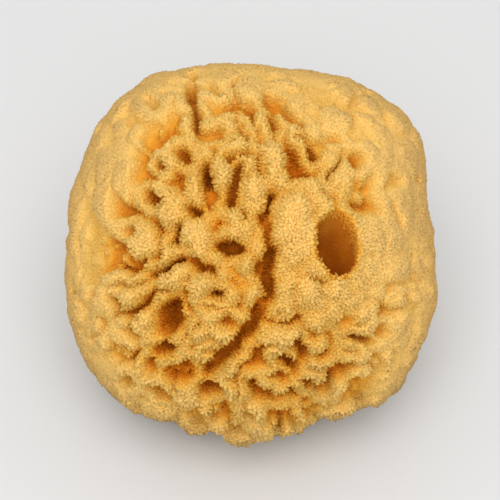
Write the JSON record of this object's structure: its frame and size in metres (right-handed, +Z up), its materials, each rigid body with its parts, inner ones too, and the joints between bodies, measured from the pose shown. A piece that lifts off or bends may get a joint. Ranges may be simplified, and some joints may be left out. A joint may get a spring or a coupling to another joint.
{
  "type": "sea sponge",
  "caption": "Natural bath sponge: a lumpy squarish ball of soft fibre with a frayed, pitted crown, a wide round mouth and a flat cut base to rest on.",
  "frame": {"origin": "middle of the flat cut face that the sponge rests on", "axes": "+Z up out of the cut face; -Y towards the side that the frayed crown leans to; +X across, towards the wide mouth"},
  "size_m": [0.1409, 0.1385, 0.1279],
  "materials": {
    "sponge_fibre": "matte"
  },
  "bodies": {
    "root": {"sponge": "sponge_fibre"}
  },
  "joints": []
}
